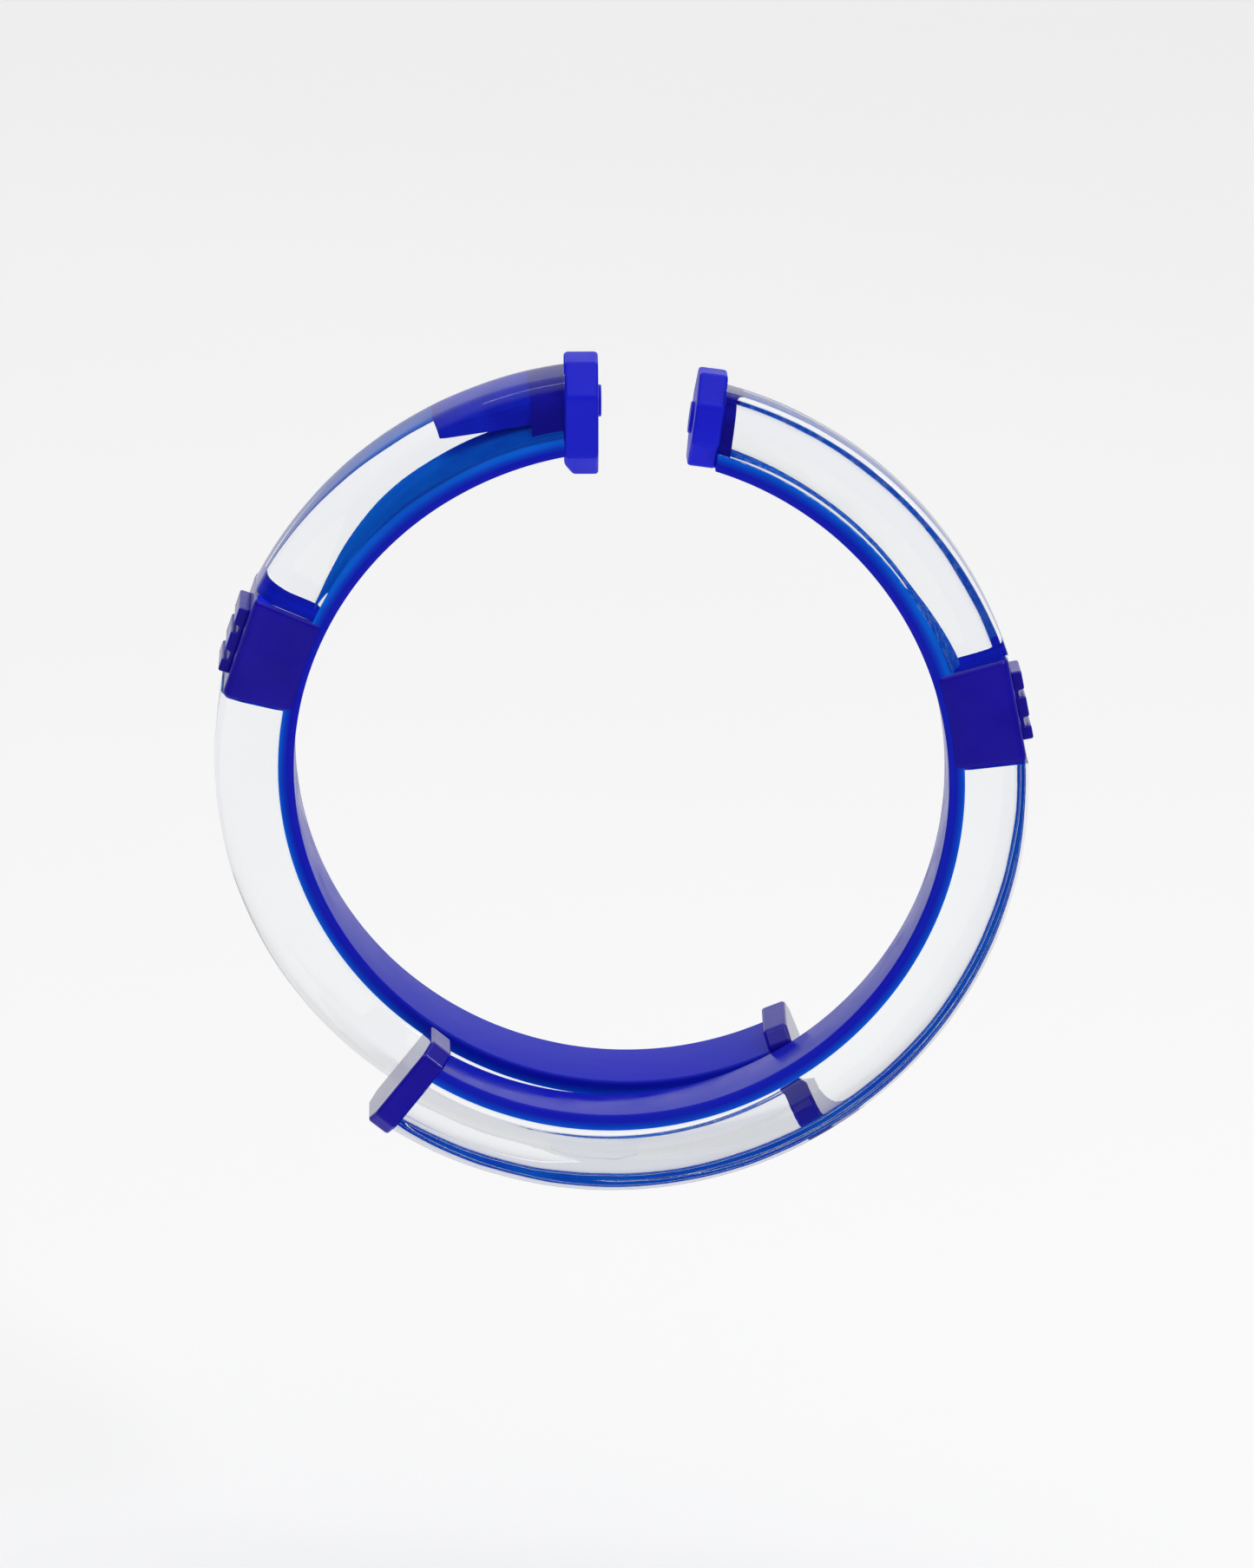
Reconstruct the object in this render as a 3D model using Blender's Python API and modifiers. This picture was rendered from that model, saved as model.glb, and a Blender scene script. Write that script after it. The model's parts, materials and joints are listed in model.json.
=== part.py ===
"""Open bangle of two clear half hoops with blue bands, sleeves and end plates.

Frame: metres, +Z up. The origin is the middle of the gap between the two top plates, where the
bangle hangs on a bar that runs along Y. The ring hangs below it, in the XZ plane.
Both halves share one design: the left half is the right half turned half a turn about Z, and
only its hand-fitted plates differ. Each half is built in its own arc frame, an empty that leans
about X at the gap, so that the two tails pass side by side at the bottom.
Stations are in degrees past the top of the arc, towards the half's own side.
"""

import math

import bmesh
import bpy
from mathutils import Vector

# Driving dimensions, in metres and degrees.
INNER_RADIUS = 0.0315
OUTER_RADIUS = 0.0390
HALF_WIDTH = 0.004375
BAND_THICKNESS = 0.00135
OUTER_CORNER = 0.0026
BAND_CORNER = 0.0010
GAP = 0.0003

HALF_LEAN = 4.0
HALF_SHIFT = (0.0008, 0.00025, 0.00045)

TOP_GAP_AT = 8.55
TOP_PLATE_DIRECTION = 4.0
TOP_PLATE_THICKNESS = {"right": 0.0027, "left": 0.0032}
TOP_PLATE_REACH = {"right": (-0.0043, 0.0046), "left": (-0.0067, 0.0043)}
TOP_PLATE_CHAMFER = 0.0026
LEFT_PLATE_RELIEF = (0.0014, 0.0008)

TAIL_PLATE_AT = {"right": 209.6, "left": 210.5}
TAIL_PLATE_DIRECTION = {"right": 215.1, "left": 205.0}
TAIL_PLATE_THICKNESS = 0.0024
TAIL_PLATE_REACH = (-0.0054, 0.0044)
TAIL_PLATE_CHAMFER = 0.0013

SLEEVE_AT = 75.3
SLEEVE_HALF_LENGTH = 0.0050
SLEEVE_END_TAPER = 5.0
SLEEVE_OUTER_FACE = 0.0386
SLEEVE_SIDE_PROUD = 0.00015

BADGE_HALF_WIDTH = 0.0027
BADGE_HALF_LENGTH = 0.0033
BADGE_BASE = 0.0003
BADGE_RISE = 0.0005
BADGE_BARS = ((-1.0, -0.45), (-0.25, 0.35), (0.6, 1.0))

COLLAR_LENGTH = {"right": 0.0008, "left": 0.0027}
COLLAR_INSET = 0.0006
WEDGE_OUTLINE = ((0.0121, 0.0326), (0.0198, 0.0312), (0.0198, 0.0323), (0.0121, 0.0359))
WEDGE_HALF_WIDTH = 0.0026
SLOT_OVERLAP = 0.1

STUD_RADIUS = 0.0015
STUD_PROUD = 0.0003
STUD_SEAT_DEPTH = 0.0010

BOND_HALF_SIZE = (0.0042, 0.00038, 0.0017)
BOND_RADIUS = 0.0362

DEGREES_PER_STEP = 4.0
CORNER_STEPS = 4
EDGE_BEVEL = 0.00025

# Values worked out from the driving dimensions.
MID_RADIUS = (INNER_RADIUS + OUTER_RADIUS) / 2
BODY_INNER_RADIUS = INNER_RADIUS + BAND_THICKNESS + GAP
ARC_CENTRE = Vector((0.0, 0.0, -MID_RADIUS))
HINGE_POINT = Vector((0.0, 0.0, -2 * MID_RADIUS))
SWEEP_SPARE = 16.0
TRIM_REACH = 0.018


def remove_everything():
    for old in list(bpy.data.objects):
        bpy.data.objects.remove(old, do_unlink=True)


def new_collection(name):
    collection = bpy.data.collections.new(name)
    bpy.context.scene.collection.children.link(collection)
    return collection


def make_material(name, colour, roughness, transmission=0.0):
    material = bpy.data.materials.new(name)
    material.use_nodes = True
    shader = material.node_tree.nodes["Principled BSDF"]
    shader.inputs["Base Color"].default_value = (*colour, 1.0)
    shader.inputs["Roughness"].default_value = roughness
    shader.inputs["Metallic"].default_value = 0.0
    shader.inputs["Transmission Weight"].default_value = transmission
    return material


def make_empty(name, location, rotation, parent=None):
    empty = bpy.data.objects.new(name, None)
    empty.location = location
    empty.rotation_euler = rotation
    empty.parent = parent
    parts.objects.link(empty)
    return empty


def add_object(name, mesh, frame, material=None, location=ARC_CENTRE, rotation=(0.0, 0.0, 0.0)):
    """Put a mesh in an arc frame: a part if it has a material, otherwise a cutter."""
    obj = bpy.data.objects.new(name, mesh)
    obj.parent = frame
    obj.location = location
    obj.rotation_euler = rotation
    if material:
        mesh.materials.append(material)
        parts.objects.link(obj)
    else:
        obj.hide_render = True
        obj.display_type = "WIRE"
        cutters.objects.link(obj)
    return obj


def outward(degrees):
    """Unit vector from the arc's centre towards a station."""
    return Vector((math.sin(math.radians(degrees)), 0.0, math.cos(math.radians(degrees))))


def onward(degrees):
    """Unit vector along the arc at a station, away from the gap."""
    return Vector((math.cos(math.radians(degrees)), 0.0, -math.sin(math.radians(degrees))))


def across(direction):
    """Rotation that lays an outline in (outward, Y), with its thickness facing the gap."""
    return (0.0, math.radians(direction - 90), 0.0)


def along(direction):
    """Rotation that lays an outline in (onward, outward), with its thickness along Y."""
    return (math.radians(90), math.radians(direction), 0.0)


class Cut:
    """A plane across the arc at a station, square to a direction, moved on by an offset."""

    def __init__(self, station, direction, offset):
        self.station = station
        self.normal = onward(direction)
        self.point = outward(station) * MID_RADIUS + self.normal * offset


def trim(work, point, normal):
    """Cut away what lies beyond a plane, near its point, and close the cut."""
    near = {vertex for vertex in work.verts if (vertex.co - point).length < TRIM_REACH}
    geometry = list(near)
    for element in work.edges[:] + work.faces[:]:
        if near.issuperset(element.verts):
            geometry.append(element)
    bmesh.ops.bisect_plane(
        work, geom=geometry, dist=1e-7, plane_co=point, plane_no=normal, clear_outer=True
    )
    open_edges = [edge for edge in work.edges if edge.is_boundary]
    bmesh.ops.holes_fill(work, edges=open_edges, sides=0)


def finish_mesh(name, work, sharp_angle=35):
    mesh = bpy.data.meshes.new(name)
    bmesh.ops.recalc_face_normals(work, faces=work.faces)
    work.to_mesh(mesh)
    work.free()
    mesh.shade_smooth()
    mesh.set_sharp_from_angle(angle=math.radians(sharp_angle))
    return mesh


def corner_arc(centre, radius, start):
    """Points of a quarter circle about centre, from start degrees on, anticlockwise."""
    points = []
    for step in range(CORNER_STEPS + 1):
        angle = math.radians(start + 90.0 * step / CORNER_STEPS)
        points.append((centre[0] + radius * math.cos(angle), centre[1] + radius * math.sin(angle)))
    return points


def section(inner, outer, half_width, inner_corner, outer_corner):
    """Closed outline across an arc, as (radius, y) points. A corner of 0 is square."""
    outline = []
    for radius, corner, y_sign, start in (
        (outer, outer_corner, 1, 0),
        (inner, inner_corner, 1, 90),
        (inner, inner_corner, -1, 180),
        (outer, outer_corner, -1, 270),
    ):
        if corner == 0:
            outline.append((radius, y_sign * half_width))
            continue
        inward = -corner if radius == outer else corner
        centre = (radius + inward, y_sign * (half_width - corner))
        outline += corner_arc(centre, corner, start)
    return outline


def swept_mesh(name, outline, first, last):
    """Sweep an outline about the arc's centre, and trim it at two cuts."""
    work = bmesh.new()
    start = first.station - SWEEP_SPARE
    end = last.station + SWEEP_SPARE
    verts = [work.verts.new(outward(start) * r + Vector((0.0, y, 0.0))) for r, y in outline]
    edges = [work.edges.new((verts[i - 1], verts[i])) for i in range(len(verts))]
    bmesh.ops.spin(
        work,
        geom=verts + edges,
        cent=(0.0, 0.0, 0.0),
        axis=(0.0, 1.0, 0.0),
        angle=math.radians(end - start),
        steps=round((end - start) / DEGREES_PER_STEP),
    )
    trim(work, first.point, -first.normal)
    trim(work, last.point, last.normal)
    return finish_mesh(name, work)


def outline_mesh(name, points, thickness):
    """A flat outline given thickness: a filled 2D curve, made a mesh, with its caps welded."""
    curve = bpy.data.curves.new(name, "CURVE")
    curve.dimensions = "2D"
    curve.fill_mode = "BOTH"
    curve.extrude = thickness / 2
    spline = curve.splines.new("POLY")
    spline.points.add(len(points) - 1)
    for point, (x, y) in zip(spline.points, points):
        point.co = (x, y, 0.0, 1.0)
    spline.use_cyclic_u = True
    holder = bpy.data.objects.new(name, curve)
    cutters.objects.link(holder)
    evaluated = holder.evaluated_get(bpy.context.evaluated_depsgraph_get())
    work = bmesh.new()
    work.from_mesh(evaluated.to_mesh())
    bpy.data.objects.remove(holder, do_unlink=True)
    bmesh.ops.remove_doubles(work, verts=work.verts, dist=0.000001)
    bmesh.ops.dissolve_limit(work, angle_limit=math.radians(1), verts=work.verts, edges=work.edges)
    return finish_mesh(name, work)


def disc_mesh(name, radius, thickness):
    work = bmesh.new()
    bmesh.ops.create_cone(
        work, cap_ends=True, segments=32, radius1=radius, radius2=radius, depth=thickness
    )
    return finish_mesh(name, work)


def add_bevel(obj, width, segments=1):
    bevel = obj.modifiers.new("edges", "BEVEL")
    bevel.width = width
    bevel.segments = segments
    bevel.limit_method = "ANGLE"
    bevel.angle_limit = math.radians(30)


def subtract(obj, cutter):
    cut = obj.modifiers.new("cut_" + cutter.name, "BOOLEAN")
    cut.operation = "DIFFERENCE"
    cut.solver = "EXACT"
    cut.object = cutter


def behind_top_plate(side, distance):
    """The cut at a distance behind a top plate's hoop side."""
    return Cut(TOP_GAP_AT, TOP_PLATE_DIRECTION, TOP_PLATE_THICKNESS[side] + distance)


def before_tail_plate(side, distance):
    """The cut at a distance before a tail plate's hoop side."""
    offset = -TAIL_PLATE_THICKNESS / 2 - distance
    return Cut(TAIL_PLATE_AT[side], TAIL_PLATE_DIRECTION[side], offset)


def beside_sleeve(sign):
    """The cut just outside one end of a sleeve: sign is -1 towards the gap, or 1."""
    half_length = SLEEVE_HALF_LENGTH * math.cos(math.radians(SLEEVE_END_TAPER))
    return Cut(SLEEVE_AT, SLEEVE_AT + sign * SLEEVE_END_TAPER, sign * (half_length + GAP))


def make_clear_bodies(side, frame):
    outline = section(BODY_INNER_RADIUS, OUTER_RADIUS, HALF_WIDTH, 0, OUTER_CORNER)
    upper = swept_mesh(side + "_upper", outline, behind_top_plate(side, GAP), beside_sleeve(-1))
    lower = swept_mesh(side + "_lower", outline, beside_sleeve(1), before_tail_plate(side, GAP))
    add_object(side + "_lower_body", lower, frame, clear)
    return add_object(side + "_upper_body", upper, frame, clear)


def make_band(side, frame):
    outline = section(INNER_RADIUS, INNER_RADIUS + BAND_THICKNESS, HALF_WIDTH, BAND_CORNER, 0)
    first = behind_top_plate(side, GAP)
    mesh = swept_mesh(side + "_band", outline, first, before_tail_plate(side, GAP))
    add_object(side + "_band", mesh, frame, blue)


def collar_section(spare):
    """The collar's section, a little smaller than the clear body that covers it."""
    half_width = HALF_WIDTH - COLLAR_INSET + spare
    outer = OUTER_RADIUS - COLLAR_INSET + spare
    inner = BODY_INNER_RADIUS - 2 * spare
    return section(inner, outer, half_width, 0, OUTER_CORNER - COLLAR_INSET)


def make_collar(side, frame, upper_body):
    """The stub behind a top plate, and its pocket in the end of the clear body."""
    end = GAP + COLLAR_LENGTH[side]
    first = behind_top_plate(side, GAP)
    collar = swept_mesh(side + "_collar", collar_section(0), first, behind_top_plate(side, end))
    add_object(side + "_collar", collar, frame, blue)
    first = behind_top_plate(side, -GAP)
    last = behind_top_plate(side, end + GAP)
    pocket = swept_mesh(side + "_pocket", collar_section(GAP), first, last)
    subtract(upper_body, add_object(side + "_collar_pocket", pocket, frame))


def slot_outline():
    """The wedge's outline with a gap all round, and open to the collar's pocket at its base."""
    base_low, tip_low, tip_high, base_high = (Vector(point) for point in WEDGE_OUTLINE)
    spread = Vector((0.0, 1.2 * GAP))
    beyond = Vector((GAP, 0.0))
    return [
        base_low.lerp(tip_low, -SLOT_OVERLAP) - spread,
        tip_low + beyond - spread,
        tip_high + beyond + spread,
        base_high.lerp(tip_high, -SLOT_OVERLAP) + spread,
    ]


def make_wedge(frame, upper_body):
    """The tapered tongue that keys the left collar into its clear body, and its slot."""
    mesh = outline_mesh("left_wedge", WEDGE_OUTLINE, 2 * WEDGE_HALF_WIDTH)
    add_object("left_wedge", mesh, frame, blue, ARC_CENTRE, along(0))
    slot = outline_mesh("left_slot", slot_outline(), 2 * (WEDGE_HALF_WIDTH + GAP))
    subtract(upper_body, add_object("left_wedge_slot", slot, frame, None, ARC_CENTRE, along(0)))


def octagon(reach, chamfer):
    """Plate outline in (outward, Y): a rectangle with its four corners cut off."""
    low, high = reach
    wide = HALF_WIDTH
    return [
        (low, -wide + chamfer),
        (low + chamfer, -wide),
        (high - chamfer, -wide),
        (high, -wide + chamfer),
        (high, wide - chamfer),
        (high - chamfer, wide),
        (low + chamfer, wide),
        (low, wide - chamfer),
    ]


def relieve_inner_edge(mesh, low, thickness):
    """Cut off a plate's inner edge on its hoop side."""
    tall, deep = LEFT_PLATE_RELIEF
    work = bmesh.new()
    work.from_mesh(mesh)
    trim(work, Vector((low + tall, 0.0, -thickness / 2)), Vector((-deep, 0.0, -tall)))
    work.to_mesh(mesh)
    work.free()


def make_top_plate(side, frame):
    """Octagonal plate at the gap, and the round stud set in it, which grips the bar."""
    thickness = TOP_PLATE_THICKNESS[side]
    reach = TOP_PLATE_REACH[side]
    mesh = outline_mesh(side + "_plate", octagon(reach, TOP_PLATE_CHAMFER), thickness)
    if side == "left":
        relieve_inner_edge(mesh, reach[0], thickness)
    turn = across(TOP_PLATE_DIRECTION)
    gap_face = ARC_CENTRE + outward(TOP_GAP_AT) * MID_RADIUS
    to_hoop = onward(TOP_PLATE_DIRECTION)
    middle = gap_face + to_hoop * thickness / 2
    plate = add_object(side + "_top_plate", mesh, frame, blue, middle, turn)
    add_bevel(plate, EDGE_BEVEL)

    seat = disc_mesh(side + "_seat", STUD_RADIUS + GAP, 2 * STUD_SEAT_DEPTH)
    subtract(plate, add_object(side + "_stud_seat", seat, frame, None, gap_face, turn))
    stud_length = STUD_SEAT_DEPTH - GAP + STUD_PROUD
    stud_mesh = disc_mesh(side + "_stud", STUD_RADIUS, stud_length)
    stud_middle = gap_face + to_hoop * (stud_length / 2 - STUD_PROUD)
    stud = add_object(side + "_gap_stud", stud_mesh, frame, blue, stud_middle, turn)
    add_bevel(stud, EDGE_BEVEL / 2)


def make_tail_plate(side, frame):
    points = octagon(TAIL_PLATE_REACH, TAIL_PLATE_CHAMFER)
    mesh = outline_mesh(side + "_tail_plate", points, TAIL_PLATE_THICKNESS)
    middle = ARC_CENTRE + outward(TAIL_PLATE_AT[side]) * MID_RADIUS
    turn = across(TAIL_PLATE_DIRECTION[side])
    plate = add_object(side + "_tail_plate", mesh, frame, blue, middle, turn)
    add_bevel(plate, EDGE_BEVEL)


def make_sleeve(side, frame):
    """Box between the clear bodies, with flat faces and slightly tapered ends."""
    slope = math.tan(math.radians(SLEEVE_END_TAPER))
    inner = BODY_INNER_RADIUS
    outer = SLEEVE_OUTER_FACE
    inner_half = SLEEVE_HALF_LENGTH + (inner - MID_RADIUS) * slope
    outer_half = SLEEVE_HALF_LENGTH + (outer - MID_RADIUS) * slope
    points = [(-inner_half, inner), (inner_half, inner), (outer_half, outer), (-outer_half, outer)]
    mesh = outline_mesh(side + "_sleeve", points, 2 * (HALF_WIDTH + SLEEVE_SIDE_PROUD))
    sleeve = add_object(side + "_sleeve", mesh, frame, blue, ARC_CENTRE, along(SLEEVE_AT))
    add_bevel(sleeve, EDGE_BEVEL)


def make_badge(side, frame):
    """Raised badge of plain bars on the sleeve's outer face, as one stepped outline."""
    foot = SLEEVE_OUTER_FACE + GAP
    low = foot + BADGE_BASE
    high = low + BADGE_RISE
    points = [(-BADGE_HALF_LENGTH, foot)]
    for first, last in BADGE_BARS:
        left = first * BADGE_HALF_LENGTH
        right = last * BADGE_HALF_LENGTH
        if first > -1.0:
            points.append((left, low))
        points.append((left, high))
        points.append((right, high))
        if last < 1.0:
            points.append((right, low))
    points.append((BADGE_HALF_LENGTH, foot))
    mesh = outline_mesh(side + "_badge", points, 2 * BADGE_HALF_WIDTH)
    add_object(side + "_badge", mesh, frame, blue, ARC_CENTRE, along(SLEEVE_AT))


def make_bond_pad():
    """Clear flexible pad between the two tails, where the halves are joined."""
    work = bmesh.new()
    bmesh.ops.create_cube(work, size=2.0)
    bmesh.ops.scale(work, vec=BOND_HALF_SIZE, verts=work.verts)
    middle = ARC_CENTRE - Vector((0.0, 0.0, BOND_RADIUS))
    add_object("bond_pad", finish_mesh("bond_pad", work), None, clear, middle)


def make_half(side, frame):
    upper_body = make_clear_bodies(side, frame)
    make_band(side, frame)
    make_collar(side, frame, upper_body)
    if side == "left":
        make_wedge(frame, upper_body)
    make_top_plate(side, frame)
    make_tail_plate(side, frame)
    make_sleeve(side, frame)
    make_badge(side, frame)


remove_everything()
parts = new_collection("open_bangle")
cutters = new_collection("cutters")
clear = make_material("clear_resin", (0.95, 0.97, 1.0), 0.03, 1.0)
blue = make_material("blue_plastic", (0.02, 0.01, 0.38), 0.25)

lean = math.radians(-HALF_LEAN)
shift = Vector(HALF_SHIFT)
right_arc = make_empty("right_arc", -shift, (lean, 0.0, 0.0))
left_hinge = make_empty("left_hinge", HINGE_POINT, (0.0, 0.0, 0.0))
left_arc = make_empty("left_arc", shift - HINGE_POINT, (lean, 0.0, math.pi), left_hinge)

make_half("right", right_arc)
make_half("left", left_arc)
make_bond_pad()
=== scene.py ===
"""Looks of the open bangle: clear cast resin, blue bands and blue fittings around the CAD frame.

Every piece is built in its half's arc frame: the origin is the arc's centre, Y is the axis of
the hoop, and a station is an angle in degrees past the top, towards the half's own side.
"""

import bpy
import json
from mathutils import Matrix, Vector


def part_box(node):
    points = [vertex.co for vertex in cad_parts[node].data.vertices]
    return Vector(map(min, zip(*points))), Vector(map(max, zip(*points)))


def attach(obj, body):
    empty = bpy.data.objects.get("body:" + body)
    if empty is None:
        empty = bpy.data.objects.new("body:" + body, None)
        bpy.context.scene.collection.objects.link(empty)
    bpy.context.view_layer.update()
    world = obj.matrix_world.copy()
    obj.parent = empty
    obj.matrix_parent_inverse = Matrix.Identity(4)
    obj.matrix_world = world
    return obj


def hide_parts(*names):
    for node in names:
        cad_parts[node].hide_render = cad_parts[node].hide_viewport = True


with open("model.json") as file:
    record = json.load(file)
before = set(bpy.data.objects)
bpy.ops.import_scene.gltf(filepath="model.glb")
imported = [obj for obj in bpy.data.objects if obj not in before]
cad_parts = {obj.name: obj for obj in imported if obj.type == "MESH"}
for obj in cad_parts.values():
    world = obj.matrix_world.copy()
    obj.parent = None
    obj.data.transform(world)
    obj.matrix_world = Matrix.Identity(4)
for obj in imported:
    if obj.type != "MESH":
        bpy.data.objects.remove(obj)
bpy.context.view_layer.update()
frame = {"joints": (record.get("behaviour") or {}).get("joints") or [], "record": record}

import json
import math

import bmesh
import bpy
from mathutils import Matrix, Vector, noise

# Driving dimensions, in metres and degrees, beside what the frame gives.
hinge = frame["joints"][0]["pos_m"]
mounts = {mount["name"]: mount for mount in frame["record"]["mounts"]}
sleeve_normal = mounts["right_sleeve_front"]["axis"]
MID_RADIUS = -hinge[2] / 2
LEAN = math.atan2(sleeve_normal[2], -sleeve_normal[1])
HALF_SHIFT = Vector((0.0008, 0.00025, 0.00045))
SIDES = ("right", "left")

INNER_RADIUS = MID_RADIUS - 0.00375
OUTER_RADIUS = MID_RADIUS + 0.00375
JOINT_RADIUS = INNER_RADIUS + 0.0015
HALF_WIDTH = 0.004375
BAND_CORNER = 0.0003
BAND_CLEARANCE = 0.00004
BAND_RIPPLE = 0.00001
BAND_TOP_STEPS = 6
CASTING_RIPPLE = 0.00003
# Cells a metre of the two ripples that lie over each other, and the finer one's share.
COARSE_RIPPLES = 150.0
FINE_RIPPLES = 420.0
FINE_RIPPLE_SHARE = 0.5
# How far the castings' edges beside the band are rounded off.
GROOVE = {"upper": 0.0007, "lower": 0.0009}
# How far each casting's outer edges are rounded off, at its start and at its end:
# first the edge on its -Y side, then the edge on its +Y side.
EDGES = {
    ("right", "upper"): ((0.0006, 0.0006), (0.0042, 0.0036)),
    ("right", "lower"): ((0.0005, 0.0014), (0.0028, 0.0026)),
    ("left", "upper"): ((0.0042, 0.0030), (0.0016, 0.0026)),
    ("left", "lower"): ((0.0012, 0.0012), (0.0022, 0.0024)),
}
# How much further into the resin each band reaches, as (station, reach) from the gap on.
SWELL = {
    "right": (
        (8.0, 0.0005),
        (30.0, 0.0004),
        (50.0, 0.0006),
        (70.0, 0.0016),
        (76.0, 0.0016),
        (82.0, 0.0),
    ),
    "left": ((8.0, 0.0016), (18.0, 0.0020), (40.0, 0.0019), (74.0, 0.0)),
}
SWELL_FALL = 0.6
# How far pieces that are bonded together reach into each other.
BOND = 0.0001

TOP_GAP_AT = 8.55
TOP_DIRECTION = 4.0
TOP_THICKNESS = {"right": 0.0027, "left": 0.0032}
TOP_REACH = {"right": (-0.0043, 0.0046), "left": (-0.0067, 0.0043)}
TOP_CHAMFER = 0.0026
TOP_RELIEF = (0.0014, 0.0008)
TAIL_AT = {"right": 209.6, "left": 210.5}
TAIL_DIRECTION = {"right": 215.1, "left": 205.0}
TAIL_THICKNESS = 0.0024
TAIL_REACH = (-0.0054, 0.0044)
TAIL_CHAMFER = 0.0013
PLATE_BEVEL = 0.00035

SLEEVE_AT = 75.3
SLEEVE_HALF_LENGTH = 0.0050
SLEEVE_TAPER = 5.0
SLEEVE_OUTER_FACE = 0.0386
SLEEVE_HALF_WIDTH = 0.00452
SLEEVE_BEVEL = 0.0008
SLEEVE_LIFT = 0.0003
SLEEVE_STEPS = 10

STUD_RADIUS = 0.0015
STUD_PROUD = 0.0003
STUD_SIDES = 48
STUD_BEVEL = 0.00012

COLLAR_LENGTH = {"right": 0.0011, "left": 0.0030}
COLLAR_INSET = 0.0006
COLLAR_DEPTH = 0.0013
COLLAR_CORNER = 0.0026
COLLAR_INNER_CORNER = 0.0002
WEDGE_OUTLINE = ((0.0095, 0.0335), (0.0198, 0.0311), (0.0198, 0.0321), (0.0095, 0.0361))
WEDGE_HALF_WIDTH = 0.0026
WEDGE_BEVEL = 0.00012

BADGE_HALF_LENGTH = 0.0033
BADGE_HALF_WIDTH = 0.0027
BADGE_BARS = ((-1.0, -0.45), (-0.25, 0.35), (0.6, 1.0))
BADGE_BASE = 0.0005
BADGE_TOP = 0.0011
BADGE_BEVEL = 0.00022

PAD_HOLLOW = 0.35
PAD_BEVEL = 0.0001

CORNER_STEPS = 10
SHARP_ANGLE = 40.0
BEVEL_ANGLE = 25.0
# A face looks a given way when its normal's share along that way is over this.
FACING = 0.9

RING_CENTRE = Vector((0.0, 0.0, -MID_RADIUS))


# Camera, light and floor.

CAMERA_AZIMUTH = -2.1
CAMERA_ELEVATION = 15.9
CAMERA_ROLL = 4.05
CAMERA_DISTANCE = 0.975
FRAME_HEIGHT = 0.1477
AIM_RIGHT = 0.00066
AIM_DOWN = 0.00155
CAMERA_CLIP = 0.01
FLOOR_HEIGHT = -0.13
FLOOR_SIZE = 8.0

# Name, place, width, length and power of each soft box.
SOFT_BOXES = (
    ("top_softbox", (0.15, 0.25, 0.9), 0.7, 0.7, 0.6),
    ("side_softbox", (0.55, -0.55, 0.45), 0.10, 0.10, 0.8),
    ("edge_strip", (0.0, -0.28, 0.92), 1.2, 0.12, 1.5),
)

# Brightness round the ring, by the parts of a direction: Y from front to back, Z upwards and
# X to either side. Each range is where the brightness turns from the first level to the second.
FRONT_TO_BACK = (-0.35, 0.30)
RISE = (0.25, 0.85)
RISE_LEVELS = (0.05, 0.86)
BACK_LEVEL = 0.78
FLAGS = (0.50, 0.90)
FLAG_LEVELS = (1.0, 0.25)


def make_camera():
    """A long lens, tilted and rolled as the viewer stands, and square to the ring's middle."""
    azimuth = math.radians(CAMERA_AZIMUTH)
    elevation = math.radians(CAMERA_ELEVATION)
    back = Vector((
        math.sin(azimuth) * math.cos(elevation),
        -math.cos(azimuth) * math.cos(elevation),
        math.sin(elevation),
    ))
    turn = back.to_track_quat("Z", "Y").to_matrix()
    turn = turn @ Matrix.Rotation(math.radians(CAMERA_ROLL), 3, "Z")
    aim = RING_CENTRE + turn @ Vector((AIM_RIGHT, -AIM_DOWN, 0.0))
    data = bpy.data.cameras.new("camera")
    data.lens = data.sensor_width * CAMERA_DISTANCE / FRAME_HEIGHT
    data.clip_start = CAMERA_CLIP
    camera = bpy.data.objects.new("camera", data)
    camera.matrix_world = Matrix.Translation(aim + back * CAMERA_DISTANCE) @ turn.to_4x4()
    bpy.context.scene.collection.objects.link(camera)
    bpy.context.scene.camera = camera


def eased(tree, source, from_low, from_high, to_low=0.0, to_high=1.0):
    """A value that turns smoothly from to_low into to_high while the source crosses its range."""
    node = tree.nodes.new("ShaderNodeMapRange")
    node.interpolation_type = "SMOOTHSTEP"
    node.inputs["From Min"].default_value = from_low
    node.inputs["From Max"].default_value = from_high
    node.inputs["To Min"].default_value = to_low
    node.inputs["To Max"].default_value = to_high
    tree.links.new(source, node.inputs["Value"])
    return node.outputs["Result"]


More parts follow.
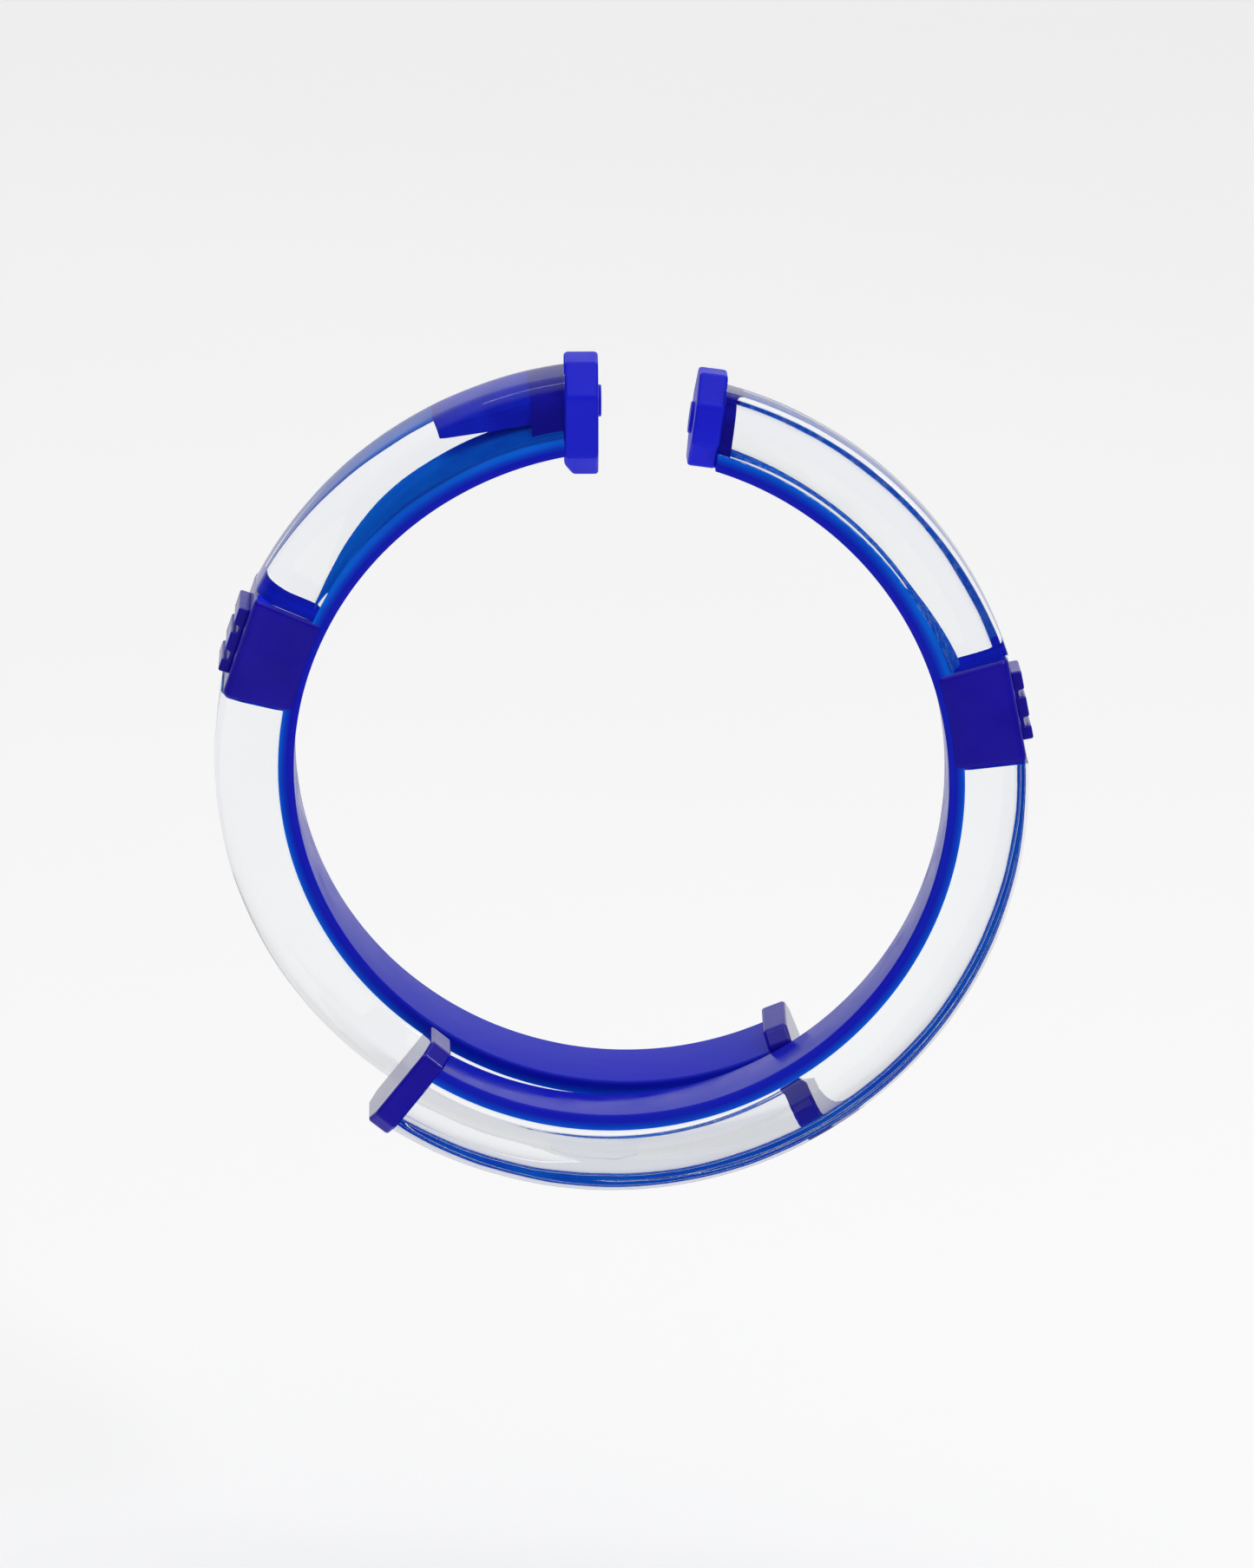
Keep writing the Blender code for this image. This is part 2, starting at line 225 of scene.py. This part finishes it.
def make_world():
    """Pale all round and brighter above, with a dark side in front, as a dim room would be."""
    world = bpy.data.worlds.new("studio")
    bpy.context.scene.world = world
    world.use_nodes = True
    tree = world.node_tree
    place = tree.nodes.new("ShaderNodeTexCoord")
    split = tree.nodes.new("ShaderNodeSeparateXYZ")
    tree.links.new(place.outputs["Generated"], split.inputs[0])

    level = tree.nodes.new("ShaderNodeMix")
    level.data_type = "FLOAT"
    tree.links.new(eased(tree, split.outputs["Y"], *FRONT_TO_BACK), level.inputs[0])
    tree.links.new(eased(tree, split.outputs["Z"], *RISE, *RISE_LEVELS), level.inputs[2])
    level.inputs[3].default_value = BACK_LEVEL

    # Dark flags at both sides draw the edges of the clear resin.
    across = tree.nodes.new("ShaderNodeMath")
    across.operation = "ABSOLUTE"
    tree.links.new(split.outputs["X"], across.inputs[0])
    strength = tree.nodes.new("ShaderNodeMath")
    strength.operation = "MULTIPLY"
    tree.links.new(level.outputs[0], strength.inputs[0])
    tree.links.new(eased(tree, across.outputs[0], *FLAGS, *FLAG_LEVELS), strength.inputs[1])
    background = tree.nodes["Background"]
    background.inputs["Color"].default_value = (1.0, 1.0, 1.0, 1.0)
    tree.links.new(strength.outputs[0], background.inputs["Strength"])


def make_light(name, place, width, length, power):
    """A soft box that faces the ring."""
    data = bpy.data.lights.new(name, "AREA")
    data.shape = "RECTANGLE"
    data.size = width
    data.size_y = length
    data.energy = power
    light = bpy.data.objects.new(name, data)
    towards = RING_CENTRE - Vector(place)
    light.matrix_world = (
        Matrix.Translation(place) @ towards.to_track_quat("-Z", "Y").to_matrix().to_4x4()
    )
    bpy.context.scene.collection.objects.link(light)


def make_floor(material):
    """A plain floor, left out of mirror-like reflections."""
    bpy.ops.mesh.primitive_plane_add(size=FLOOR_SIZE, location=(0.0, 0.0, FLOOR_HEIGHT))
    floor = bpy.context.object
    floor.name = "floor"
    floor.data.materials.append(material)
    floor.visible_glossy = False


# Materials.


class Shader:
    """A new material, with short calls that add its nodes."""

    def __init__(self, name):
        self.material = bpy.data.materials.new(name)
        self.material.use_nodes = True
        self.nodes = self.material.node_tree.nodes
        self.main = self.nodes["Principled BSDF"]
        self.place = self.nodes.new("ShaderNodeTexCoord").outputs["Object"]

    def link(self, source, target):
        self.material.node_tree.links.new(source, target)

    def set(self, **values):
        for name, value in values.items():
            self.main.inputs[name.replace("_", " ")].default_value = value

    def noise(self, scale, detail=2.0, roughness=0.5, stretch=None):
        """A noise pattern in the piece's own space, at scale cells a metre."""
        node = self.nodes.new("ShaderNodeTexNoise")
        node.inputs["Scale"].default_value = scale
        node.inputs["Detail"].default_value = detail
        node.inputs["Roughness"].default_value = roughness
        source = self.place
        if stretch:
            mapping = self.nodes.new("ShaderNodeMapping")
            mapping.inputs["Scale"].default_value = stretch
            self.link(self.place, mapping.inputs["Vector"])
            source = mapping.outputs["Vector"]
        self.link(source, node.inputs["Vector"])
        return node.outputs["Fac"]

    def remap(self, source, low, high, to_low, to_high):
        """The source's range from low to high, turned into another one."""
        node = self.nodes.new("ShaderNodeMapRange")
        names = ("From Min", "From Max", "To Min", "To Max")
        for name, value in zip(names, (low, high, to_low, to_high)):
            node.inputs[name].default_value = value
        self.link(source, node.inputs["Value"])
        return node.outputs["Result"]

    def ramp(self, source, stops):
        """A colour ramp; stops are (position, (red, green, blue))."""
        node = self.nodes.new("ShaderNodeValToRGB")
        elements = node.color_ramp.elements
        while len(elements) < len(stops):
            elements.new(0.5)
        for element, (position, colour) in zip(elements, stops):
            element.position = position
            element.color = (*colour, 1.0)
        self.link(source, node.inputs["Fac"])
        return node.outputs["Color"]

    def mix(self, share, first, second):
        """Colour first, turning into second as share goes from 0 to 1."""
        node = self.nodes.new("ShaderNodeMix")
        node.data_type = "RGBA"
        self.link(share, node.inputs[0])
        for source, target in ((first, node.inputs[6]), (second, node.inputs[7])):
            if isinstance(source, tuple):
                target.default_value = (*source, 1.0)
            else:
                self.link(source, target)
        return node.outputs[2]

    def math(self, operation, first, second):
        node = self.nodes.new("ShaderNodeMath")
        node.operation = operation
        for source, target in zip((first, second), node.inputs):
            if isinstance(source, (int, float)):
                target.default_value = source
            else:
                self.link(source, target)
        return node.outputs[0]

    def radius(self):
        """Distance from the hoop's axis, in metres."""
        flat = self.nodes.new("ShaderNodeVectorMath")
        flat.operation = "MULTIPLY"
        flat.inputs[1].default_value = (1.0, 0.0, 1.0)
        self.link(self.place, flat.inputs[0])
        length = self.nodes.new("ShaderNodeVectorMath")
        length.operation = "LENGTH"
        self.link(flat.outputs["Vector"], length.inputs[0])
        return length.outputs["Value"]

    def height(self):
        """Height above the hoop's axis, in metres."""
        split = self.nodes.new("ShaderNodeSeparateXYZ")
        self.link(self.place, split.inputs[0])
        return split.outputs["Z"]

    def bumps(self, *layers):
        """Stacked bumps; layers are (height source, depth in metres)."""
        normal = None
        for source, depth in layers:
            node = self.nodes.new("ShaderNodeBump")
            node.inputs["Distance"].default_value = depth
            self.link(source, node.inputs["Height"])
            if normal:
                self.link(normal, node.inputs["Normal"])
            normal = node.outputs["Normal"]
        self.link(normal, self.main.inputs["Normal"])


def clear_material():
    """Polished cast resin: slow ripples, faint polishing haze and a few fine scratches."""
    shader = Shader("clear_resin")
    shader.set(Base_Color=(0.975, 0.985, 1.0, 1.0), Transmission_Weight=1.0, IOR=1.49)
    haze = shader.noise(260.0, detail=4.0, roughness=0.6)
    shader.link(shader.remap(haze, 0.45, 0.8, 0.0, 0.06), shader.main.inputs["Roughness"])
    ripples = shader.noise(140.0, detail=1.0)
    scratches = shader.noise(900.0, detail=3.0, roughness=0.7, stretch=(1.0, 0.12, 1.0))
    shader.bumps((ripples, 0.00012), (scratches, 0.000004))
    return shader.material


def fitting_material(name, low, high, gloss, coat, roughness):
    """Ultramarine cast plastic, buffed to a satin gloss, with a slightly cloudy colour."""
    shader = Shader(name)
    shader.set(Specular_IOR_Level=gloss, Coat_Weight=coat, Coat_Roughness=0.07)
    cloud = shader.noise(180.0, detail=3.0)
    colour = shader.ramp(cloud, ((0.3, low), (0.7, high)))
    shader.link(colour, shader.main.inputs["Base Color"])
    rubbed = shader.noise(300.0, detail=3.0)
    worn = shader.remap(rubbed, 0.3, 0.7, roughness * 0.8, roughness * 1.2)
    shader.link(worn, shader.main.inputs["Roughness"])
    grain = shader.noise(2600.0, detail=2.0)
    waves = shader.noise(200.0, detail=0.0)
    shader.bumps((waves, 0.00003), (grain, 0.000001))
    return shader.material


def bonded_material(name, low, high, flecks=0.0):
    """Blue under the resin: the two are cast together, so nothing glints where they meet.

    The flecks are the frosting between them, and they show in the hoop's upper part only.
    """
    shader = Shader(name)
    shader.set(Specular_IOR_Level=0.0, Roughness=0.9)
    cloud = shader.noise(220.0, detail=4.0, stretch=(1.0, 2.0, 1.0))
    colour = shader.ramp(cloud, ((0.3, low), (0.7, high)))
    speckle = shader.noise(1500.0, detail=4.0, roughness=0.75)
    upper = shader.remap(shader.height(), 0.008, 0.020, 0.0, 1.0)
    fleck = shader.math("MULTIPLY", shader.remap(speckle, 0.48, 0.60, 0.0, flecks), upper)
    shader.link(shader.mix(fleck, colour, (0.30, 0.45, 0.80)), shader.main.inputs["Base Color"])
    shader.bumps((shader.noise(700.0, detail=3.0), 0.00002))
    return shader.material


def band_material():
    """Blue band: deep inside, and a brighter cobalt where it meets the resin."""
    shader = Shader("blue_band")
    shader.set(Specular_IOR_Level=0.05)
    through = shader.remap(shader.radius(), INNER_RADIUS, JOINT_RADIUS, 0.0, 1.0)
    depth = shader.ramp(through, (
        (0.0, (0.013, 0.016, 0.59)),
        (0.45, (0.008, 0.012, 0.54)),
        (0.72, (0.005, 0.055, 0.66)),
        (1.0, (0.003, 0.140, 0.82)),
    ))
    cloud = shader.noise(150.0, detail=3.0, stretch=(1.0, 2.0, 1.0))
    colour = shader.mix(shader.remap(cloud, 0.35, 0.7, 0.0, 0.35), depth, (0.004, 0.03, 0.50))
    shader.link(colour, shader.main.inputs["Base Color"])
    rubbed = shader.noise(300.0, detail=4.0)
    shader.link(shader.remap(rubbed, 0.3, 0.75, 0.10, 0.28), shader.main.inputs["Roughness"])
    shader.bumps((shader.noise(240.0, detail=1.0), 0.00003), (shader.noise(2200.0), 0.000003))
    return shader.material


def bond_material():
    """Cured glue with a faint cloud. Its low index keeps its own faces from showing."""
    shader = Shader("clear_bond")
    shader.set(Base_Color=(0.97, 0.98, 1.0, 1.0), Transmission_Weight=1.0, IOR=1.03)
    cloud = shader.noise(600.0, detail=3.0)
    shader.link(shader.remap(cloud, 0.4, 0.8, 0.0, 0.10), shader.main.inputs["Roughness"])
    shader.bumps((shader.noise(400.0), 0.00002))
    return shader.material


def floor_material():
    shader = Shader("pale_floor")
    shader.set(Roughness=0.9, Specular_IOR_Level=0.1, Emission_Strength=0.21)
    shader.set(Emission_Color=(1.0, 1.0, 1.0, 1.0))
    shade = shader.noise(3.0, detail=2.0)
    colour = shader.ramp(shade, ((0.3, (0.93, 0.93, 0.93)), (0.7, (0.95, 0.95, 0.95))))
    shader.link(colour, shader.main.inputs["Base Color"])
    return shader.material


# Arc frames and stations.


def arc_matrix(side):
    """From a half's arc frame to the object's own frame."""
    lean = Matrix.Rotation(-LEAN, 4, "X")
    centre = Matrix.Translation(RING_CENTRE)
    if side == "right":
        return Matrix.Translation(-HALF_SHIFT) @ lean @ centre
    return Matrix.Translation(HALF_SHIFT) @ Matrix.Rotation(math.pi, 4, "Z") @ lean @ centre


def outward(degrees):
    return Vector((math.sin(math.radians(degrees)), 0.0, math.cos(math.radians(degrees))))


def onward(degrees):
    return Vector((math.cos(math.radians(degrees)), 0.0, -math.sin(math.radians(degrees))))


def cut(station, direction, offset):
    """A plane across the arc: its direction, and how far along it the plane stands."""
    point = outward(station) * MID_RADIUS + onward(direction) * offset
    return direction, point.dot(onward(direction))


def crossing(plane, radius):
    """Station at which a circle of that radius crosses a plane."""
    direction, distance = plane
    return direction + math.degrees(math.asin(distance / radius))


def behind_top(side, distance):
    return cut(TOP_GAP_AT, TOP_DIRECTION, TOP_THICKNESS[side] + distance)


def before_tail(side, distance):
    return cut(TAIL_AT[side], TAIL_DIRECTION[side], -TAIL_THICKNESS / 2 - distance)


def beside_sleeve(sign, distance):
    """The plane of a sleeve's end, moved away from its middle: sign is -1 towards the gap."""
    half_length = SLEEVE_HALF_LENGTH * math.cos(math.radians(SLEEVE_TAPER))
    return cut(SLEEVE_AT, SLEEVE_AT + sign * SLEEVE_TAPER, sign * (half_length + distance))


# Meshes.


def settle(name, mesh, side, material, slot, *nodes):
    """Put a mesh in its half's arc frame, as a piece that stands for CAD nodes."""
    piece = bpy.data.objects.new(name, mesh)
    mesh.materials.append(material)
    bpy.context.scene.collection.objects.link(piece)
    piece.matrix_world = arc_matrix(side)
    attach(piece, side + "_half")
    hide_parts(*nodes)
    return piece


def mesh_from(name, work):
    """Turn the work into a smooth mesh whose corners stay sharp, and free it."""
    mesh = bpy.data.meshes.new(name)
    bmesh.ops.recalc_face_normals(work, faces=work.faces)
    work.to_mesh(mesh)
    work.free()
    mesh.shade_smooth()
    mesh.set_sharp_from_angle(angle=math.radians(SHARP_ANGLE))
    return mesh


def bond_faces(mesh, material, touches):
    """Give the faces that pass a test, such as where resin is cast on them, their own material."""
    mesh.materials.append(material)
    for face in mesh.polygons:
        if touches(face):
            face.material_index = len(mesh.materials) - 1


def corner_arc(centre, radius, start):
    """A quarter circle from a start angle on."""
    points = []
    for step in range(CORNER_STEPS + 1):
        angle = math.radians(start + 90.0 * step / CORNER_STEPS)
        points.append((centre[0] + radius * math.cos(angle), centre[1] + radius * math.sin(angle)))
    return points


def section(inner, outer, half_width, inner_corner, outer_corners):
    """Closed outline across the arc, as (radius, y) points, with its corners rounded."""
    front, back = outer_corners
    inner_centre = inner + inner_corner
    inner_side = half_width - inner_corner
    outline = corner_arc((outer - back, half_width - back), back, 0)
    outline += corner_arc((inner_centre, inner_side), inner_corner, 90)
    outline += corner_arc((inner_centre, -inner_side), inner_corner, 180)
    outline += corner_arc((outer - front, front - half_width), front, 270)
    return outline


def swept(name, profile, first, last, ripple=0.0, swell=None):
    """Sweep from one plane to another. The outline at each share of the way is profile(share)."""
    work = bmesh.new()
    loops = []
    rings = max(2, round(crossing(last, MID_RADIUS) - crossing(first, MID_RADIUS)))
    for ring in range(rings + 1):
        loop = []
        for r, y in profile(ring / rings):
            start, end = crossing(first, r), crossing(last, r)
            station = start + (end - start) * ring / rings
            if swell:
                r += swell(station, r, y)
            place = outward(station) * r + Vector((0.0, y, 0.0))
            if ripple:
                lift = noise.noise(place * COARSE_RIPPLES)
                lift += FINE_RIPPLE_SHARE * noise.noise(place * FINE_RIPPLES)
                middle = outward(station) * MID_RADIUS
                place += (place - middle).normalized() * lift * ripple
            loop.append(work.verts.new(place))
        loops.append(loop)
    count = len(loops[0])
    for one, two in zip(loops, loops[1:]):
        for i in range(count):
            work.faces.new((one[i - 1], one[i], two[i], two[i - 1]))
    work.faces.new(loops[0])
    work.faces.new(reversed(loops[-1]))
    return mesh_from(name, work)


def prism(points, low, high):
    """A flat outline in (x, y), given thickness along z.

    Its faces are made in a fixed order, because the corners of a bevel depend on that order.
    """
    work = bmesh.new()
    base = [work.verts.new((x, y, low)) for x, y in points]
    top = [work.verts.new((x, y, high)) for x, y in points]
    work.faces.new(base)
    work.faces.new(top)
    for i in range(len(points)):
        work.faces.new((base[i], top[i], top[i - 1], base[i - 1]))
    bmesh.ops.recalc_face_normals(work, faces=work.faces)
    return work


def round_edges(piece, width, segments=4):
    bevel = piece.modifiers.new("rounding", "BEVEL")
    bevel.width = width
    bevel.segments = segments
    bevel.limit_method = "ANGLE"
    bevel.angle_limit = math.radians(BEVEL_ANGLE)
    bevel.harden_normals = True


def lay(work, origin, x_axis, y_axis):
    """Move a mesh from its own axes to the given ones."""
    z_axis = x_axis.cross(y_axis)
    turn = Matrix((x_axis, y_axis, z_axis)).transposed().to_4x4()
    bmesh.ops.transform(work, matrix=Matrix.Translation(origin) @ turn, verts=work.verts)


ACROSS = Vector((0.0, 1.0, 0.0))


def make_casting(side, part, start, end):
    def profile(share):
        corners = [low + (high - low) * share for low, high in EDGES[side, part]]
        return section(JOINT_RADIUS - BOND, OUTER_RADIUS, HALF_WIDTH, GROOVE[part], corners)

    name = side + "_clear_" + part
    mesh = swept(name, profile, start, end, ripple=CASTING_RIPPLE)
    settle(name, mesh, side, clear, "clear", side + "_" + part + "_body")


def make_clear(side):
    make_casting(side, "upper", behind_top(side, -BOND), beside_sleeve(-1, -BOND))
    make_casting(side, "lower", beside_sleeve(1, -BOND), before_tail(side, -BOND))


def smooth_between(knots, at):
    """The value at a place between knots, easing from each one to the next."""
    for (one, first), (two, second) in zip(knots, knots[1:]):
        if at < two:
            share = max(0.0, (at - one) / (two - one))
            return first + (second - first) * share * share * (3.0 - 2.0 * share)
    return knots[-1][1]


def make_band(side):
    def profile(share):
        half_width = HALF_WIDTH - BAND_CLEARANCE
        outline = section(INNER_RADIUS, JOINT_RADIUS, half_width, BAND_CORNER, (BOND, BOND))
        for step in range(1, 2 * BAND_TOP_STEPS):
            outline.append((JOINT_RADIUS, half_width * (step / BAND_TOP_STEPS - 1)))
        return outline

    def swell(station, r, y):
        """Where it was poured thicker, the blue reaches into the resin, most at mid width."""
        if r < JOINT_RADIUS - BOND:
            return 0.0
        return smooth_between(SWELL[side], station) * (1.0 - SWELL_FALL * (y / HALF_WIDTH) ** 2)

    def meets_resin(face):
        return Vector((face.center.x, face.center.z)).length > JOINT_RADIUS - BOND

    start, end = behind_top(side, -BOND), before_tail(side, -BOND)
    mesh = swept(side + "_blue_band", profile, start, end, ripple=BAND_RIPPLE, swell=swell)
    settle(side + "_blue_band", mesh, side, band, "band_blue", side + "_band")
    bond_faces(mesh, bonded_bands[side], meets_resin)


def make_collar(side):
    half_width = HALF_WIDTH - COLLAR_INSET
    outer = OUTER_RADIUS - COLLAR_DEPTH
    corners = (COLLAR_CORNER, COLLAR_CORNER)
    outline = section(JOINT_RADIUS - BOND, outer, half_width, COLLAR_INNER_CORNER, corners)
    start, end = behind_top(side, -BOND), behind_top(side, COLLAR_LENGTH[side])
    mesh = swept(side + "_inner_collar", lambda share: outline, start, end)
    settle(side + "_inner_collar", mesh, side, bonded_dark, "blue", side + "_collar")


def make_wedge():
    work = prism(WEDGE_OUTLINE, -WEDGE_HALF_WIDTH, WEDGE_HALF_WIDTH)
    lay(work, Vector(), Vector((1.0, 0.0, 0.0)), Vector((0.0, 0.0, 1.0)))
    mesh = mesh_from("wedge", work)
    piece = settle("left_inner_wedge", mesh, "left", bonded_blue, "blue", "left_wedge")
    round_edges(piece, WEDGE_BEVEL, 3)


def octagon(reach, chamfer):
    low, high = reach
    wide = HALF_WIDTH
    return [
        (low, -wide + chamfer),
        (low + chamfer, -wide),
        (high - chamfer, -wide),
        (high, -wide + chamfer),
        (high, wide - chamfer),
        (high - chamfer, wide),
        (low + chamfer, wide),
        (low, wide - chamfer),
    ]


def plate_mesh(name, reach, chamfer, thickness, station, direction, offset, relief=None):
    """An octagonal plate across the arc. Its own x is outward, y is across and -z is onward.

    The relief chamfers its inner end on the side away from the gap: its height, then its depth.
    """
    work = prism(octagon(reach, chamfer), -thickness / 2, thickness / 2)
    if relief:
        tall, deep = relief
        bmesh.ops.bisect_plane(
            work,
            geom=work.verts[:] + work.edges[:] + work.faces[:],
            dist=1e-7,
            plane_co=Vector((reach[0] + tall, 0.0, -thickness / 2)),
            plane_no=Vector((-deep, 0.0, -tall)),
            clear_outer=True,
        )
        open_edges = [edge for edge in work.edges if edge.is_boundary]
        bmesh.ops.holes_fill(work, edges=open_edges, sides=0)
    middle = outward(station) * MID_RADIUS + onward(direction) * offset
    lay(work, middle, outward(direction), ACROSS)
    return mesh_from(name, work)


def make_top_plate(side):
    thickness = TOP_THICKNESS[side]
    relief = TOP_RELIEF if side == "left" else None
    name = side + "_gap_plate"
    mesh = plate_mesh(
        name, TOP_REACH[side], TOP_CHAMFER, thickness,
        TOP_GAP_AT, TOP_DIRECTION, thickness / 2, relief,
    )
    piece = settle(name, mesh, side, blue, "blue", side + "_top_plate")
    facing = onward(TOP_DIRECTION)
    bond_faces(mesh, bonded_blue, lambda face: face.normal.dot(facing) > FACING)
    round_edges(piece, PLATE_BEVEL)

    work = bmesh.new()
    bmesh.ops.create_cone(
        work,
        cap_ends=True,
        segments=STUD_SIDES,
        radius1=STUD_RADIUS,
        radius2=STUD_RADIUS,
        depth=2 * STUD_PROUD,
    )
    lay(work, outward(TOP_GAP_AT) * MID_RADIUS, outward(TOP_DIRECTION), ACROSS)
    mesh = mesh_from(side + "_bar_stud", work)
    stud = settle(side + "_bar_stud", mesh, side, blue, "blue", side + "_gap_stud")
    round_edges(stud, STUD_BEVEL)


def make_tail_plate(side):
    name = side + "_end_plate"
    mesh = plate_mesh(
        name, TAIL_REACH, TAIL_CHAMFER, TAIL_THICKNESS,
        TAIL_AT[side], TAIL_DIRECTION[side], 0.0,
    )
    piece = settle(name, mesh, side, deep_and_shaded_blue, "blue", side + "_tail_plate")
    facing = onward(TAIL_DIRECTION[side])
    bond_faces(mesh, bonded_blue, lambda face: face.normal.dot(facing) < -FACING)
    bond_faces(mesh, polished_blue, lambda face: face.normal.dot(facing) > FACING)
    round_edges(piece, PLATE_BEVEL)


def make_sleeve(side):
    """A block round the joint of the two castings. Its hollow inner side follows the band."""
    slope = math.tan(math.radians(SLEEVE_TAPER))
    inner = INNER_RADIUS + SLEEVE_LIFT
    outer = SLEEVE_OUTER_FACE
    inner_half = SLEEVE_HALF_LENGTH + (inner - MID_RADIUS) * slope
    outer_half = SLEEVE_HALF_LENGTH + (outer - MID_RADIUS) * slope
    reach = math.asin(inner_half / inner)
    turns = [reach * (2 * i / SLEEVE_STEPS - 1) for i in range(SLEEVE_STEPS + 1)]
    points = [(inner * math.sin(turn), inner * math.cos(turn)) for turn in turns]
    points += [(outer_half, outer), (-outer_half, outer)]
    work = prism(points, -SLEEVE_HALF_WIDTH, SLEEVE_HALF_WIDTH)
    lay(work, Vector(), onward(SLEEVE_AT), outward(SLEEVE_AT))
    mesh = mesh_from(side + "_side_sleeve", work)
    piece = settle(side + "_side_sleeve", mesh, side, deep_and_shaded_blue, "blue", side + "_sleeve")
    facing = onward(SLEEVE_AT)
    bond_faces(mesh, bonded_blue, lambda face: abs(face.normal.dot(facing)) > FACING)
    round_edges(piece, SLEEVE_BEVEL)


def make_badge(side):
    """Plain raised bars on a thin foot, set in the sleeve's outer face."""
    foot = SLEEVE_OUTER_FACE - BOND
    low = foot + BADGE_BASE
    high = foot + BADGE_TOP
    points = [(-BADGE_HALF_LENGTH, foot)]
    for first, last in BADGE_BARS:
        left, right = first * BADGE_HALF_LENGTH, last * BADGE_HALF_LENGTH
        if first > -1.0:
            points.append((left, low))
        points += [(left, high), (right, high)]
        if last < 1.0:
            points.append((right, low))
    points.append((BADGE_HALF_LENGTH, foot))
    work = prism(points, -BADGE_HALF_WIDTH, BADGE_HALF_WIDTH)
    lay(work, Vector(), onward(SLEEVE_AT), outward(SLEEVE_AT))
    mesh = mesh_from(side + "_bar_badge", work)
    piece = settle(side + "_bar_badge", mesh, side, deep_and_shaded_blue, "blue", side + "_badge")
    round_edges(piece, BADGE_BEVEL)


def make_bond():
    """The clear bond between the tails: a pad with a slightly hollow rim."""
    low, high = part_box("bond_pad")
    work = bmesh.new()
    bmesh.ops.create_cube(work, size=1.0)
    bmesh.ops.scale(work, vec=Vector(high) - Vector(low), verts=work.verts)
    bmesh.ops.subdivide_edges(work, edges=work.edges[:], cuts=3, use_grid_fill=True)
    middle = (Vector(high) + Vector(low)) / 2
    for vertex in work.verts:
        edge = abs(vertex.co.x) / (high[0] - middle.x)
        vertex.co.z *= 1.0 - PAD_HOLLOW * edge ** 3
    bmesh.ops.translate(work, verts=work.verts, vec=middle)
    piece = bpy.data.objects.new("tail_bond", mesh_from("tail_bond", work))
    piece.data.materials.append(bond)
    bpy.context.scene.collection.objects.link(piece)
    round_edges(piece, PAD_BEVEL)
    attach(piece, "right_half")
    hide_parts("bond_pad")


bpy.context.scene.view_settings.view_transform = "Standard"
make_camera()
make_world()
for soft_box in SOFT_BOXES:
    make_light(*soft_box)
make_floor(floor_material())

clear = clear_material()
bond = bond_material()
# The top plates and their studs get a brighter blue than the sleeves, badges and tail plates. Part
# of that is the fittings' own tint, and part is painted light: the brighter copy stands for the
# stronger light from above on the top plates, and the deeper copy is painted shade on the lower
# fittings.
blue = fitting_material(
    "top_lit_blue_fitting", (0.009, 0.012, 0.70), (0.012, 0.016, 0.80),
    gloss=0.12, coat=0.05, roughness=0.40,
)
deep_and_shaded_blue = fitting_material(
    "deep_and_shaded_fitting", (0.008, 0.001, 0.38), (0.010, 0.002, 0.47),
    gloss=0.18, coat=0.45, roughness=0.35,
)
polished_blue = fitting_material(
    "polished_end", (0.02, 0.015, 0.30), (0.025, 0.02, 0.40),
    gloss=0.6, coat=0.5, roughness=0.12,
)
band = band_material()
bonded_blue = bonded_material("bonded_blue", (0.010, 0.020, 0.75), (0.014, 0.040, 0.95))
bonded_dark = bonded_material("bonded_dark", (0.012, 0.008, 0.42), (0.016, 0.014, 0.58))
bonded_bands = {
    "right": bonded_material("frosted_joint", (0.003, 0.10, 0.85), (0.006, 0.18, 0.95), 0.5),
    "left": bonded_material("smooth_joint", (0.003, 0.15, 0.95), (0.004, 0.22, 1.00)),
}
for side in SIDES:
    make_clear(side)
    make_band(side)
    make_collar(side)
    make_top_plate(side)
    make_tail_plate(side)
    make_sleeve(side)
    make_badge(side)
make_wedge()
make_bond()
